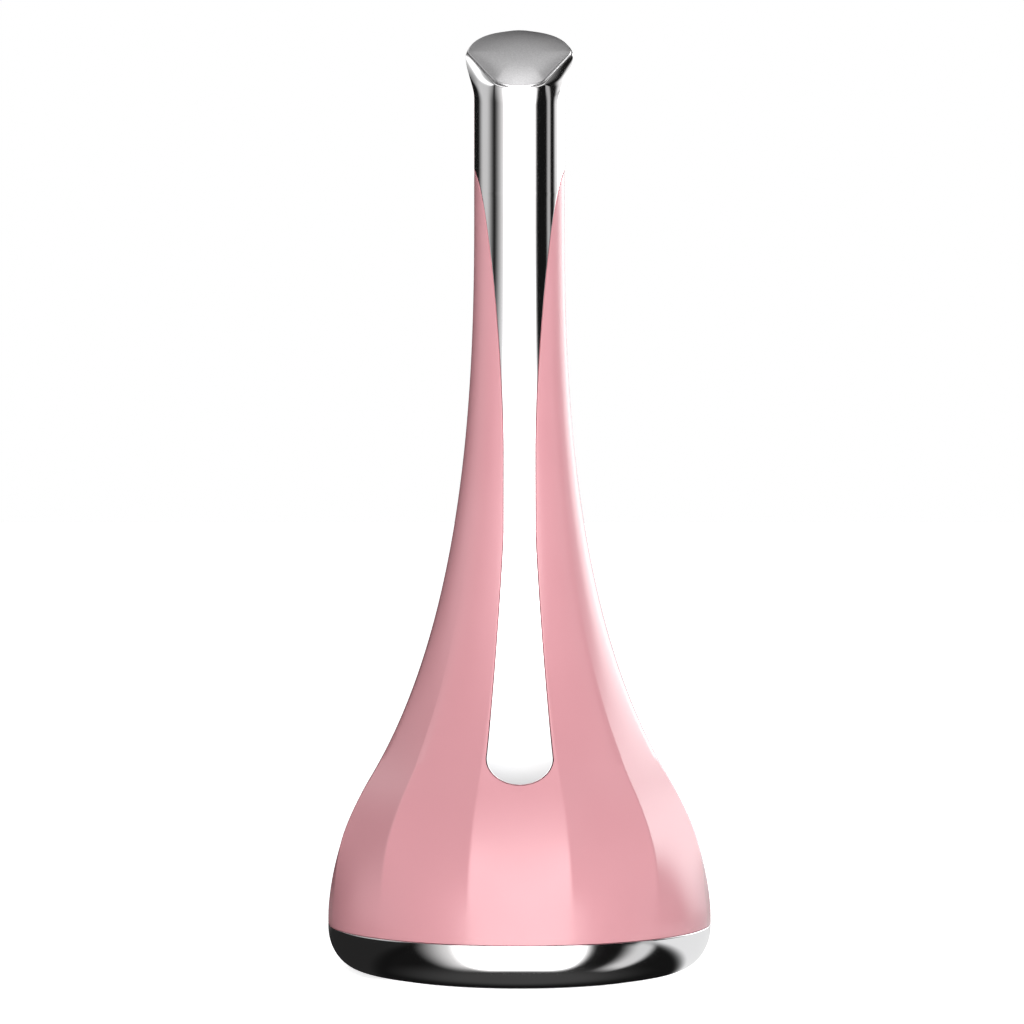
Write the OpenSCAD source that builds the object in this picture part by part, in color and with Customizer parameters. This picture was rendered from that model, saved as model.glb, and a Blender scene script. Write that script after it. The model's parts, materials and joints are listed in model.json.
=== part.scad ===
// Heated eye massager wand that stands on its own base.
// A faceted bell draws in to a slim neck. A polished spine runs up the front of
// the neck and opens into the head, whose slanted face holds the warm plate.
// Millimetres, +Z up, front towards -Y, origin under the middle of the foot.

/* [Bell and neck] */
// Radius of the bell at the middle of its facets, where it is widest
bell_r = 28.25; // [27:0.05:30]
// Number of flat facets round the bell
facets = 12; // [10:2:12]
// Height of the seam between the base ring and the bell
seam_z = 6.9; // [6.5:0.1:7.5]
// Height at which the bell starts to draw in
bulge_z = 8.1; // [8:0.1:9]
// Radius of the bell where its curve turns from round to hollow
turn_r = 22.1; // [21.5:0.1:22.5]
// Height of that turn
turn_z = 28.2; // [27.5:0.1:29]
// Radius lost per millimetre of height at the turn
turn_slope = 0.6; // [0.55:0.01:0.65]
// Radius of the slim neck
neck_r = 6.7; // [6.6:0.05:7]
// Height at which the neck becomes straight
neck_z = 112; // [108:1:116]
// Wall of the moulded shell and of the polished spine
wall = 1.6; // [1.4:0.05:1.7]
// Width of the seam round the spine
seam_gap = 0.15; // [0.1:0.01:0.2]

/* [Front spine] */
// Half width of the spine at its waist
waist_w = 2.3; // [2:0.1:2.8]
// Height at which the waist begins to open upwards
waist_top_z = 76; // [72:1:80]
// Height of the lower end of the waist
waist_low_z = 64.5; // [60:0.5:68]
// Height at which the spine covers the front half of the neck
lapel_z = 119.5; // [117:0.5:121]
// Half width of the spine near its lower end
tongue_w = 4.7; // [4:0.1:5.2]
// Height of that widest place
tongue_z = 32.5; // [31.5:0.5:35]
// Height of the round end below it
tongue_end_h = 3.6; // [3:0.1:4.5]
// Angle round the neck, from the front, of the straight side seams
side_seam_a = 84; // [80:1:86]

/* [Head] */
// Height at which the head starts to flare out of the neck
flare_z = 124; // [121:0.5:125]
// Height of the front edge of the slanted face
face_front_z = 129.2; // [128.5:0.1:131]
// Tilt of the face from level
face_tilt = 38; // [35:1:40]
// How far the two side corners stand out beyond the neck
corner_out = 1.3; // [0.8:0.1:1.4]
// Depth of the flats between the corners and the front
flat_depth = 0.45; // [0.3:0.05:0.5]
// Height of the polished lip above the moulded shell, square to the face
lip_h = 2.5; // [2.3:0.1:2.8]
// Thickness of the lip round the plate
lip_t = 0.4; // [0.35:0.05:0.5]
// Thickness of the plate below its dome
plate_t = 1.1; // [1:0.1:1.2]
// Rise of the dome of the plate
dome_h = 0.9; // [0.6:0.1:1.2]
// Thickness of the gasket under the plate
gasket_t = 0.3; // [0.2:0.1:0.4]
// Radius of the heater under the plate
heater_r = 3.4; // [3:0.1:3.6]

/* [Base] */
// Width of the rounded lower edge of the base ring
edge_w = 5; // [4.5:0.1:5.5]
// Thickness of the foot pad
pad_t = 1; // [0.9:0.05:1.1]
// How far the foot pad stands out below the base ring
pad_proud = 0.4; // [0.3:0.05:0.5]
// Radius of the foot pad
pad_r = 22; // [21.8:0.1:22.4]
// Thickness of the floor of the base ring above the foot pad
floor_t = 1.8; // [1.7:0.1:2]
// Thickness of the disc at the foot of the inner frame
disc_t = 1.5; // [1.4:0.1:1.6]
// Radius of the circle that the base screws stand on
screw_ring_r = 19; // [18.8:0.1:19.1]
// Radius of a base screw
screw_r = 1.2; // [1.1:0.05:1.3]

/* [Button and board] */
// Height of the middle of the power button
button_z = 19; // [18.8:0.1:19.4]
// Radius of the power button
button_r = 4; // [3.8:0.1:4.1]
// How far the button stands out of the bell
button_proud = 0.4; // [0.35:0.05:0.5]
// Travel of the button
button_travel = 0.35; // [0.3:0.05:0.4]
// Distance of the back of the board behind the axis
board_y = 17.5; // [17.3:0.1:17.6]
// Width of the board
board_w = 17.6; // [17.2:0.2:17.8]
// Thickness of the board
board_t = 1; // [0.9:0.05:1.1]
// Height of the middle of the charging socket
socket_z = 11.6; // [11.5:0.1:11.8]
// Height of the status light
light_z = 25.6; // [25.4:0.1:25.8]
// Radius of the status light
light_r = 0.9; // [0.8:0.05:1]

/* [Battery] */
// Radius of the battery cell
cell_r = 7; // [6.8:0.05:7.05]
// Length of the battery cell
cell_h = 50; // [46:0.5:51]

/* [Vibration motor] */
// Radius of the motor can
motor_r = 3; // [2.9:0.05:3.05]
// Length of the motor can
motor_h = 11.5; // [11:0.1:12]
// Height of the lower end of the motor
motor_z = 101; // [100:0.5:102]
// Radius of the motor shaft
shaft_r = 0.4; // [0.35:0.01:0.45]

/* [Hidden] */
$fn = 64;
eps = 0.01;
past = 3;                  // a cutter's overshoot past the face that it cuts
far = 60;                  // a cutter's reach past everything

// ---- curves of the bell, the neck and the spine ----
function bezier(p, t) = pow(1 - t, 3) * p[0] + 3 * pow(1 - t, 2) * t * p[1]
    + 3 * (1 - t) * t * t * p[2] + pow(t, 3) * p[3];
function smooth(t) = let(u = max(0, min(1, t))) u * u * (3 - 2 * u);

// how far the handles of the bell's two curves reach, which sets how full the curves are
bulge_reach = 2;
low_reach = 9.2;
high_reach = 25;
neck_reach = 21;
low_curve = [[bulge_z, bell_r], [bulge_z + bulge_reach, bell_r],
    [turn_z - low_reach, turn_r + turn_slope * low_reach], [turn_z, turn_r]];
high_curve = [[turn_z, turn_r], [turn_z + high_reach, turn_r - turn_slope * high_reach],
    [neck_z - neck_reach, neck_r], [neck_z, neck_r]];
profile = concat([[seam_z, bell_r]],
    [for (i = [0:9]) bezier(low_curve, i / 10)],
    [for (i = [0:20]) bezier(high_curve, i / 20)], [[flare_z, neck_r]]);
// radius at the middle of a facet, at height z
function skin_r(z) = lookup(z, profile);

facet_low = [10, 21.5];    // the facets grow out of the round seam between these
facet_high = [38, 88];     // and melt into the round neck between these
function facet_share(z) = smooth((z - facet_low[0]) / (facet_low[1] - facet_low[0]))
    * (1 - smooth((z - facet_high[0]) / (facet_high[1] - facet_high[0])));
facet_a = 360 / facets;
// angle from the middle of the nearest facet
function off_facet(a) = (a + facet_a * 1.5) % facet_a - facet_a / 2;
function facet_r(a, z) = skin_r(z) * (1 + facet_share(z) * (1 / cos(off_facet(a)) - 1));
// a point at angle a from the front, round to the right
function round_point(a, r, z) = [r * sin(a), -r * cos(a), z];

corner_a = 100;            // angle of the head's side corners
corner_spread = 28;        // angle over which a corner rises
flat_a = 60;               // angle of the middle of the flats
flat_spread = 34;          // angle over which a flat sinks in
flare_start = 0.45;        // share of the head's height below which it stays straight
function turn_off(a, b) = abs((a - b + 540) % 360 - 180);
function corner_rise(a) = smooth(1 - min(turn_off(a, corner_a),
    turn_off(a, -corner_a)) / corner_spread);
function flat_dip(a) = let(off = min(turn_off(a, flat_a), turn_off(a, -flat_a)))
    off < flat_spread ? pow(cos(off / flat_spread * 90), 2) : 0;
function rim_r(a) = neck_r + corner_out * corner_rise(a) - flat_depth * flat_dip(a);
face_mid_z = face_front_z + neck_r * tan(face_tilt);
function face_height(y) = face_mid_z + y * tan(face_tilt);
over_z = face_mid_z + far / 4;   // above the whole wand
function head_point(a, t) = let(rim = face_height(-rim_r(a) * cos(a)),
    r = neck_r + (rim_r(a) - neck_r) * smooth((t - flare_start) / (1 - flare_start)))
    round_point(a, r, flare_z + (rim - flare_z) * t);

// ---- the outer skin of the whole wand as rings of points ----
columns = 48;
column_a = 360 / columns;
head_steps = [0.25, 0.45, 0.55, 0.63, 0.71, 0.79, 0.88, 1];
function skin_rings(low) = concat(
    [for (p = profile) if (p[0] > low) [for (j = [0:columns - 1])
        round_point(j * column_a, facet_r(j * column_a, p[0]), p[0])]],
    [for (t = head_steps) [for (j = [0:columns - 1]) head_point(j * column_a, t)]]);

// closed solid through flat rings of equal length, lowest first
module loft(rings) {
    n = len(rings[0]);
    top = (len(rings) - 1) * n;
    low_mid = len(rings) * n;
    function middle(ring) = [for (i = [0:n - 1]) 1] * ring / n;
    polyhedron(concat([for (ring = rings) each ring], [middle(rings[0]), middle(rings[len(rings) - 1])]),
        [for (j = [0:n - 1]) let(k = (j + 1) % n) each concat(
            [[low_mid, j, k], [low_mid + 1, top + k, top + j]],
            [for (b = [0:n:top - n]) each [[b + j, b + n + j, b + k], [b + k, b + n + j, b + n + k]]])]);
}

// ---- outline of the spine: [height, half width] from its round end upwards ----
tongue_handle = [9, -1.05];      // handles of the curves, as height and half width from their ends
waist_low_handle = [-2, 0];
waist_top_handle = [12.5, 0];
lapel_handle = [-4.5, -2.25];
end_step = 14;                   // step along the round end
function handled(low, low_handle, high_handle, high) =
    [low, low + low_handle, high + high_handle, high];
tongue_curve = handled([tongue_z, tongue_w], tongue_handle, waist_low_handle, [waist_low_z, waist_w]);
lapel_curve = handled([waist_top_z, waist_w], waist_top_handle, lapel_handle, [lapel_z, neck_r]);
spine_outline = concat(
    [for (a = [90 - end_step / 2:-end_step:end_step / 2])
        [tongue_z - tongue_end_h * sin(a), tongue_w * cos(a)]],
    [for (i = [0:6]) bezier(tongue_curve, i / 6)],
    [for (i = [0:12]) bezier(lapel_curve, i / 12)]);
function side_a(gap) = side_seam_a + gap / neck_r * 180 / PI;
// half angle that the spine takes of the skin at a point of its outline, grown by gap
function spine_a(p, gap) = let(share = min(1, (p[1] + gap) / skin_r(p[0])))
    min(side_a(gap),
        facet_share(p[0]) * atan(share) + (1 - facet_share(p[0])) * asin(share));
function wedge_ring(a, z) = [[0, 0, z], round_point(-a, far, z),
    [-far, -far * 1.5, z], [far, -far * 1.5, z], round_point(a, far, z)];

// all that lies in front of the spine's outline, grown by gap
module spine_wedge(gap) {
    end = spine_outline[0];
    loft(concat([wedge_ring(spine_a(end, gap), end[0] - gap)],
        [for (i = [1:len(spine_outline) - 1]) let(p = spine_outline[i])
            wedge_ring(spine_a(p, gap), p[0])],
        [wedge_ring(side_a(gap), over_z)]));
}

// frame of the slanted face: local z points out of it
module on_face(depth = 0) {
    translate([0, 0, face_mid_z]) rotate([face_tilt, 0, 0]) translate([0, 0, -depth]) children();
}
module above_face(depth) {
    on_face(depth) translate([-far, -far, 0]) cube([2 * far, 2 * far, far]);
}
function face_outline(inset, share = 1) = [for (j = [0:columns - 1])
    let(a = j * column_a, r = (rim_r(a) - inset) * share)
    [r * sin(a), -r * cos(a) / cos(face_tilt)]];

// space inside the shell and the spine: the skin's profile less the wall
cavity_r = bell_r - wall;
module cavity(top) {
    rotate_extrude() polygon(concat([[0, seam_z - 2 * past], [cavity_r, seam_z - 2 * past]],
        [for (p = profile) [p[1] - wall, p[0]]], [[neck_r - wall, top], [0, top]]));
}

// ---- heights of the stack in the base ----
pad_recess_z = pad_t;
floor_z = pad_recess_z + floor_t;
disc_z = floor_z + disc_t;
screw_angles = [-90, 30, 150];
module at_screws() {
    for (a = screw_angles) rotate([0, 0, a]) translate([screw_ring_r, 0, 0]) children();
}
head_r = screw_r + 1;      // head of a base screw
head_h = 1.1;
screw_h = 9;
screw_gap = 0.1;           // round a screw and its head in what it passes through
thread_gap = 0.05;         // round a screw in its boss
boss_wall = 1.4;
boss_r = screw_r + boss_wall;
boss_top_z = turn_z + 2;
rib_t = 1.2;               // rib from a boss to the shell
rib_z = seam_z + 4;
seat_gap = 0.05;           // half the gap at the seam between the base ring and the bell
shell_z = seam_z + seat_gap;

module bosses() {
    at_screws() {
        translate([0, 0, shell_z - past]) cylinder(r = boss_r, h = boss_top_z - shell_z + past);
        translate([0, -rib_t / 2, rib_z]) cube([bell_r - screw_ring_r, rib_t, boss_top_z - rib_z]);
    }
}

// ---- openings in the back of the bell ----
slide_gap = 0.08;          // running gap round the button
light_gap = 0.05;          // round the light pipe
opening_y = board_y + 2;   // the openings start behind the board
button_slope = atan((skin_r(button_z - 1) - skin_r(button_z + 1)) / 2);
light_slope = atan((skin_r(light_z - 1) - skin_r(light_z + 1)) / 2);
socket_w = 8.94;
socket_h = 3.16;
socket_gap = 0.2;
module along_back(z, y) {
    translate([0, y, z]) rotate([-90, 0, 0]) children();
}
module slot_outline(w, h) {
    hull() for (s = [-1, 1]) translate([s * (w - h) / 2, 0]) circle(d = h);
}

module body_shell() {
    color([0.9, 0.66, 0.69]) difference() {
        loft(skin_rings(0));
        difference() {
            cavity(over_z);
            bosses();
        }
        spine_wedge(seam_gap);
        above_face(lip_h + seam_gap);
        translate([-far, -far, -far]) cube([2 * far, 2 * far, far + shell_z]);
        at_screws() translate([0, 0, disc_z - past])
            cylinder(r = screw_r + thread_gap, h = screw_h + past + 1);
        along_back(button_z, opening_y) cylinder(r = button_r + slide_gap, h = far);
        along_back(socket_z, opening_y) linear_extrude(far)
            slot_outline(socket_w + 2 * socket_gap, socket_h + 2 * socket_gap);
        along_back(light_z, opening_y) cylinder(r = light_r + light_gap, h = far);
    }
}

pin_r = 0.8;               // pins that locate the spine in the inner frame
pin_zs = [44, 60, 92];
pin_len = 2;
pocket_h = plate_t + gasket_t;
seat_t = 1.3;              // ledge under the gasket
window_r = heater_r + 0.15;
gasket_margin = 0.3;       // from the window's edge to the gasket

module front_spine() {
    color([0.86, 0.86, 0.87]) {
        difference() {
            intersection() {
                loft(skin_rings(tongue_z - tongue_end_h - past));
                union() {
                    spine_wedge(0);
                    above_face(lip_h);
                }
            }
            difference() {
                cavity(over_z);
                above_face(pocket_h + seat_t);
            }
            on_face(pocket_h) linear_extrude(pocket_h + past) polygon(face_outline(lip_t));
            on_face(pocket_h + seat_t + past) cylinder(r = window_r, h = seat_t + 2 * past);
        }
        for (z = pin_zs) translate([0, -skin_r(z) + wall / 2, z]) rotate([-90, 0, 0])
            cylinder(r = pin_r, h = wall / 2 + pin_len);
    }
}

plate_gap = 0.08;
dome_shares = [1, 0.97, 0.9, 0.8, 0.65, 0.45, 0.22];
function plate_ring(share, h) = [for (p = face_outline(lip_t + plate_gap, share)) [p[0], p[1], h]];
module massage_plate() {
    color([0.62, 0.62, 0.63]) on_face() loft(concat([plate_ring(1, -plate_t)],
        [for (s = dome_shares) plate_ring(s, dome_h * sqrt(1 - pow(s, 3)))]));
}

module plate_gasket() {
    color([0.2, 0.2, 0.22]) on_face(pocket_h) linear_extrude(gasket_t) difference() {
        polygon(face_outline(lip_t + plate_gap));
        circle(r = window_r + gasket_margin);
    }
}

heater_t = 0.4;
module heater_disc() {
    color([0.75, 0.45, 0.15]) on_face(plate_t + heater_t) cylinder(r = heater_r, h = heater_t);
}

insulator_t = pocket_h + seat_t - plate_t - heater_t;
lead_r = 0.35;
lead_x = [0.5, 1.3];       // the two leads of a pair, beside the axis
lead_gap = 0.1;            // round a lead where it passes through the insulator
lead_in_y = 0.3;           // where the heater's leads come up to it
lead_top_z = face_height(lead_in_y) - (plate_t + heater_t) / cos(face_tilt) - 0.3;
sensor_r = 0.5;
sensor_gap = 0.05;
module heat_sensor() {
    color([0.1, 0.1, 0.1]) on_face(plate_t + heater_t + 2 * sensor_r)
        translate([0, heater_r / 2, 0]) cylinder(r = sensor_r, h = 2 * sensor_r);
}
module heat_insulator() {
    color([0.9, 0.88, 0.8]) difference() {
        on_face(pocket_h + seat_t) cylinder(r = heater_r, h = insulator_t);
        on_face(pocket_h + seat_t + past) translate([0, heater_r / 2, 0])
            cylinder(r = sensor_r + sensor_gap, h = insulator_t + past + eps);
        for (x = lead_x) translate([x, lead_in_y, flare_z]) cylinder(r = lead_r + lead_gap, h = far / 2);
    }
}

// ---- frame inside the shell ----
fit_gap = 0.1;             // between the frame and the shells round it
cradle_wall = 1;
cradle_r = cell_r + fit_gap + cradle_wall;
tab_t = 0.2;
cell_z = disc_z + tab_t;
cell_top_z = cell_z + cell_h + tab_t;
sleeve_t = 0.55;
sleeve_r = motor_r + sleeve_t;
sleeve_gap = 0.05;
tube_r = neck_r - wall - fit_gap;
tube_over = 6.5;           // how far the tube runs on above the motor, round its weight
tube_top_z = motor_z + motor_h + tube_over;
ledge_w = 1;               // ledge that the motor's sleeve stands on
throat_r = sleeve_r - ledge_w;
cone_h = 13;               // length over which the cradle's bore draws in to the throat
cone_step = 3;             // spacing of the rings of the cone outside
cone_end = 4;              // its last ring lies at least this far under the motor
function frame_r(z) = min(cradle_r, skin_r(z) - wall - fit_gap);
lead_slot_w = 3.8;
rail_w = 2;                // rail that carries the lower part of the spine
rail_low_z = tongue_z - 2;
rail_steps = 8;
post_w = 2.6;              // posts that hold the board's edges
post_inset = 0.7;          // how far a post reaches in over the board's edge
tab_slot = [4, 8];         // width and height of the lower tab's way out
tab_notch = [2, 6.8];      // and of the upper tab's notch
pin_gap = 0.1;

module inner_frame() {
    cone_zs = [for (z = [cell_top_z:cone_step:motor_z - cone_end]) z];
    post_x = board_w / 2 - post_inset + post_w / 2;
    color([0.25, 0.25, 0.27]) difference() {
        union() {
            rotate_extrude() polygon(concat([[0, floor_z], [pad_r, floor_z], [pad_r, disc_z],
                [cradle_r, disc_z]], [for (z = cone_zs) [frame_r(z), z]],
                [[tube_r, motor_z], [tube_r, tube_top_z], [0, tube_top_z]]));
            at_screws() translate([0, 0, floor_z]) cylinder(r = boss_r, h = shell_z - floor_z);
            for (s = [-1, 1]) translate([s * post_x - post_w / 2, board_y - board_t - post_w / 2, floor_z])
                cube([post_w, board_t + post_w, button_z + button_r - floor_z]);
            translate([-rail_w / 2, 0, 0]) rotate([90, 0, 90]) linear_extrude(rail_w) polygon(concat(
                [[-cell_r, rail_low_z], [-cell_r, waist_low_z]],
                [for (i = [rail_steps:-1:0])
                    let(z = rail_low_z + (waist_low_z - rail_low_z) * i / rail_steps)
                    [-skin_r(z) + wall + 2 * fit_gap, z]]));
        }
        rotate_extrude() polygon([[0, floor_z - past], [cell_r + fit_gap, floor_z - past],
            [cell_r + fit_gap, cell_top_z], [throat_r, cell_top_z + cone_h], [throat_r, motor_z],
            [sleeve_r + sleeve_gap, motor_z], [sleeve_r + sleeve_gap, tube_top_z + past],
            [0, tube_top_z + past]]);
        translate([-lead_slot_w / 2, 1, cell_top_z - 4]) cube([lead_slot_w, far, far * 2]);
        translate([-tab_slot[0] / 2, 0, disc_z]) cube([tab_slot[0], cradle_r + past, tab_slot[1]]);
        rotate([0, 0, -45]) translate([-tab_notch[0] / 2, 0, cell_top_z - tab_t - tab_notch[1]])
            cube([tab_notch[0], cradle_r + past, tab_notch[1]]);
        translate([-board_w / 2 - fit_gap, board_y - board_t - fit_gap / 2, board_low_z - fit_gap])
            cube([board_w + 2 * fit_gap, board_t + fit_gap, far]);
        at_screws() translate([0, 0, floor_z - past])
            cylinder(r = screw_r + 2 * screw_gap, h = shell_z + past);
        for (z = pin_zs) translate([0, 0, z]) rotate([90, 0, 0]) cylinder(r = pin_r + pin_gap, h = far);
    }
}

carrier_slot_in = 0.6;     // how far its slot for the leads reaches in front of the heater's half
module plate_carrier() {
    low = tube_top_z + 2 * fit_gap;
    color([0.85, 0.85, 0.8]) difference() {
        translate([0, 0, low]) cylinder(r = tube_r, h = far / 2);
        above_face(pocket_h + seat_t);
        translate([-lead_slot_w / 2, -heater_r / 2 - carrier_slot_in, low - past])
            cube([lead_slot_w, far, far]);
    }
}

// ---- base ----
edge_band_h = 0.4;         // straight band above the rounded edge
rim_h = 2;                 // rim that centres the bell
rim_t = 1.3;
module base_ring() {
    edge_z = seam_z - edge_band_h;
    rim_out_r = cavity_r - fit_gap;
    rise = edge_z - pad_proud;
    bottom_r = bell_r - edge_w;
    color([0.84, 0.84, 0.85]) difference() {
        rotate_extrude() polygon(concat([[0, pad_proud]],
            [for (a = [0:9:90]) [bottom_r + edge_w * sin(a), edge_z - rise * cos(a)]],
            [[bell_r, seam_z - seat_gap], [rim_out_r, seam_z - seat_gap],
             [rim_out_r, seam_z + rim_h], [rim_out_r - rim_t, seam_z + rim_h],
             [rim_out_r - rim_t, floor_z], [0, floor_z]]));
        translate([0, 0, -past]) cylinder(r = pad_r + fit_gap, h = pad_recess_z + past);
        at_screws() translate([0, 0, -past]) {
            cylinder(r = head_r + screw_gap, h = pad_recess_z + head_h + past);
            cylinder(r = screw_r + screw_gap, h = floor_z + 2 * past);
        }
    }
}

pad_edge = 0.4;            // bevel of the pad's lower edge
module foot_pad() {
    color([0.3, 0.3, 0.31]) rotate_extrude() polygon([[0, 0], [pad_r - pad_edge, 0],
        [pad_r, pad_edge], [pad_r, pad_t], [0, pad_t]]);
}

cross = [2.4, 0.5, 0.6];   // length, width and depth of the cross in a screw's head
module base_screws() {
    top = pad_recess_z + head_h;
    color([0.6, 0.6, 0.62]) at_screws() difference() {
        union() {
            translate([0, 0, pad_recess_z]) cylinder(r = head_r, h = head_h);
            translate([0, 0, top - eps]) cylinder(r = screw_r, h = screw_h + disc_z - top);
        }
        for (a = [0, 90]) rotate([0, 0, a]) translate([-cross[0] / 2, -cross[1] / 2, pad_recess_z - past])
            cube([cross[0], cross[1], cross[2] + past]);
    }
}

// ---- battery ----
pad_gap = 0.2;
module battery_pad() {
    color([0.15, 0.15, 0.15]) translate([0, 0, floor_z]) cylinder(r = cell_r - pad_gap, h = disc_t);
}
cell_edge = 0.4;           // rounding of the can's lower edge
groove = [0.5, 2.2, 1.8];  // depth of the bead under the cap, and its two heights below the top
nub = [3, 0.8];            // radius and height of the raised contact
module battery_cell() {
    color([0.2, 0.45, 0.75]) translate([0, 0, cell_z]) rotate_extrude() polygon([[0, 0],
        [cell_r - cell_edge, 0], [cell_r, cell_edge], [cell_r, cell_h - groove[1]],
        [cell_r - groove[0], cell_h - groove[2]], [cell_r - groove[0], cell_h - nub[1]],
        [nub[0], cell_h - nub[1]], [nub[0], cell_h], [0, cell_h]]);
}
low_tab_w = 3;
top_tab = [2.6, 1.6];      // radius of the disc and width of the strip
tab_out = 0.6;             // how far the lower tab reaches out of the cradle
module battery_tabs() {
    color([0.8, 0.8, 0.78]) {
        translate([0, 0, disc_z]) linear_extrude(tab_t) {
            circle(r = low_tab_w);
            translate([-low_tab_w / 2, 0]) square([low_tab_w, cradle_r + tab_out]);
        }
        translate([0, 0, cell_z + cell_h]) linear_extrude(tab_t) {
            circle(r = top_tab[0]);
            rotate(-45) translate([-top_tab[1] / 2, 0]) square([top_tab[1], cell_r - top_tab[1]]);
        }
    }
}

// ---- board and what it carries ----
board_margin = 3.2;        // from the frame's disc and from the status light to the board's ends
board_low_z = disc_z + board_margin;
board_top_z = light_z + board_margin;
module main_board() {
    cut = 2.5;
    color([0.1, 0.4, 0.2])
        translate([0, board_y, 0]) rotate([90, 0, 0]) linear_extrude(board_t) polygon([
            [-board_w / 2, board_low_z], [board_w / 2, board_low_z],
            [board_w / 2, board_top_z - cut], [board_w / 2 - cut, board_top_z],
            [cut - board_w / 2, board_top_z], [-board_w / 2, board_top_z - cut]]);
}
// x, z, width, height, thickness of each part on the front of the board
chips = [[-3.4, 18, 5, 5, 1], [4.2, 12.2, 4, 4, 1.8], [-3.6, 12, 3, 3, 0.9], [1.4, 20.6, 2, 1.2, 0.6]];
module board_chips() {
    color([0.12, 0.12, 0.13]) for (c = chips)
        translate([c[0] - c[2] / 2, board_y - board_t - c[4], c[1] - c[3] / 2]) cube([c[2], c[4], c[3]]);
}
flange_t = 1;              // flange that keeps the button in
flange_w = 0.8;
flange_gap = 0.3;          // between the flange and the shell's wall
stem_y = skin_r(button_z + button_r + flange_w + 0.2) - wall - flange_t - flange_gap;
touch_gap = 0.05;
switch_t = 3;
switch_w = 6;
switch_floor = 1;          // wall behind the plunger
plunger_r = 1.75;
plunger_gap = 0.06;
module tact_switch() {
    color([0.2, 0.2, 0.2]) difference() {
        translate([-switch_w / 2, board_y, button_z - switch_w / 2])
            cube([switch_w, switch_t, switch_w]);
        along_back(button_z, board_y + switch_floor)
            cylinder(r = plunger_r + plunger_gap, h = switch_t);
    }
}
module switch_plunger() {
    foot = board_y + switch_floor + button_travel + touch_gap;
    color([0.75, 0.2, 0.2]) along_back(button_z, foot)
        cylinder(r = plunger_r, h = stem_y - touch_gap - foot);
}
dish_r = 18;               // the button's face is a shallow dish
dish_depth = 0.35;
module power_button() {
    crown = skin_r(button_z) + button_proud;
    color([0.88, 0.88, 0.89]) difference() {
        union() {
            along_back(button_z, stem_y) cylinder(r = button_r, h = far / 4);
            along_back(button_z, stem_y) cylinder(r = button_r + flange_w, h = flange_t);
        }
        translate([0, crown, button_z]) rotate([button_slope - 90, 0, 0])
            translate([-far / 2, -far / 2, 0]) cube([far, far, far]);
        translate([0, crown, button_z]) rotate([button_slope - 90, 0, 0])
            translate([0, 0, dish_r - dish_depth]) sphere(r = dish_r, $fn = 96);
    }
}
socket_wall = 0.3;
socket_back = 2;           // solid part behind the contacts
socket_inset = 0.5;        // from the bell's face to the socket's mouth
socket_len = skin_r(socket_z) - socket_inset - board_y;
contact = [6.6, 0.7];      // width and thickness of the contact tongue
contact_inset = 1.2;       // from the socket's mouth to its tip
module usb_socket() {
    color([0.75, 0.75, 0.76]) along_back(socket_z, board_y) difference() {
        linear_extrude(socket_len) slot_outline(socket_w, socket_h);
        translate([0, 0, socket_back]) linear_extrude(socket_len)
            slot_outline(socket_w - 2 * socket_wall, socket_h - 2 * socket_wall);
    }
}
module usb_tongue() {
    color([0.1, 0.1, 0.1]) along_back(socket_z, board_y + socket_back)
        translate([-contact[0] / 2, -contact[1] / 2, 0])
        cube([contact[0], contact[1], socket_len - socket_back - contact_inset]);
}
led_w = 1.6;
led_t = 0.8;
module status_led() {
    color([0.95, 0.95, 0.8]) translate([-led_w / 2, board_y, light_z - led_w / 2])
        cube([led_w, led_t, led_w]);
}
collar_w = 0.4;            // collar that keeps the light pipe in
collar_t = 1;
module light_pipe() {
    color([0.95, 0.95, 0.95, 0.6]) difference() {
        union() {
            along_back(light_z, board_y + led_t) cylinder(r = light_r, h = far / 4);
            along_back(light_z, board_y + led_t) cylinder(r = light_r + collar_w, h = collar_t);
        }
        translate([0, skin_r(light_z), light_z]) rotate([light_slope - 90, 0, 0])
            translate([-far / 2, -far / 2, 0]) cube([far, far, far]);
    }
}

// ---- vibration motor with its off-centre weight ----
can_wall = 0.25;
bush_gap = 0.03;
motor_top_z = motor_z + motor_h;
lid_t = 0.4;
module tube(r, bore, z, h) {
    translate([0, 0, z]) difference() {
        cylinder(r = r, h = h);
        translate([0, 0, -past]) cylinder(r = bore, h = h + 2 * past);
    }
}
module motor_can() {
    color([0.7, 0.7, 0.72]) difference() {
        translate([0, 0, motor_z]) cylinder(r = motor_r, h = motor_h);
        translate([0, 0, motor_z - past]) cylinder(r = motor_r - can_wall, h = motor_h + past - lid_t);
        translate([0, 0, motor_z]) cylinder(r = shaft_r + bush_gap, h = motor_h + past);
    }
}
cap_t = 0.8;
cap_floor = 0.3;           // wall below the shaft's end
module motor_cap() {
    color([0.85, 0.85, 0.8]) difference() {
        translate([0, 0, motor_z]) cylinder(r = motor_r - can_wall, h = cap_t);
        translate([0, 0, motor_z + cap_floor]) cylinder(r = shaft_r + bush_gap, h = cap_t);
    }
}
air_gap = 0.2;             // between the coil and the magnet, and between the magnet and the shaft
can_gap = 0.25;            // between the coil and the can
coil_t = 0.7;              // wound wall of the coil cup
coil_disc_t = 0.6;
magnet_low = 3;            // from the can's lower end to the magnet
coil_r = motor_r - can_wall - can_gap;
magnet_r = coil_r - coil_t - air_gap;
module motor_magnet() {
    color([0.3, 0.3, 0.32])
        tube(magnet_r, shaft_r + air_gap, motor_z + magnet_low, motor_h - lid_t - magnet_low);
}
module coil_cup() {
    z = motor_z + cap_t + coil_disc_t;
    top = motor_z + motor_h - lid_t - coil_disc_t;
    color([0.75, 0.4, 0.15]) {
        tube(coil_r, shaft_r, z, coil_disc_t);
        tube(coil_r, magnet_r + air_gap, z + coil_disc_t - eps, top - z - coil_disc_t);
    }
}
weight_z = motor_top_z + 0.7;
weight_h = 4;
hub_w = 0.6;               // round the shaft in the weight
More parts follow.
